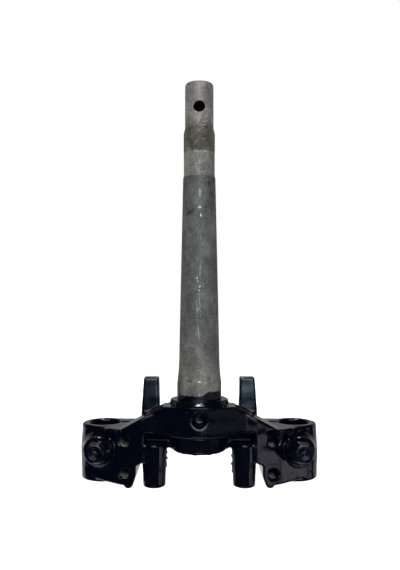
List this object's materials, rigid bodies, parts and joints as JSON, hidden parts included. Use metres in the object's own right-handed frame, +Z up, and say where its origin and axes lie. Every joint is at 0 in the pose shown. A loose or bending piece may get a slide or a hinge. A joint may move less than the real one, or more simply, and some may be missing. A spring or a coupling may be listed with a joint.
{
  "type": "motorcycle triple clamp",
  "caption": "Lower fork clamp of a small motorcycle: forged black bridge with split fork clamps, posts and lugs, and a pressed-in hollow steering stem.",
  "frame": {"origin": "on the stem axis, at the shoulder that carries the lower steering bearing", "axes": "+Z up the stem, +X across to the fork leg on the right of the view, +Y towards the front wheel, away from the viewer"},
  "size_m": [0.203, 0.0763, 0.333],
  "materials": {
    "black_paint": "gloss black paint over a forged surface",
    "stem_steel": "bare turned steel, mottled",
    "black_bolt": "gloss black"
  },
  "bodies": {
    "root": {"lower_bridge": "black_paint", "steering_stem": "stem_steel", "flange_bolt_left": "black_bolt", "flange_bolt_right": "black_bolt"}
  },
  "joints": []
}
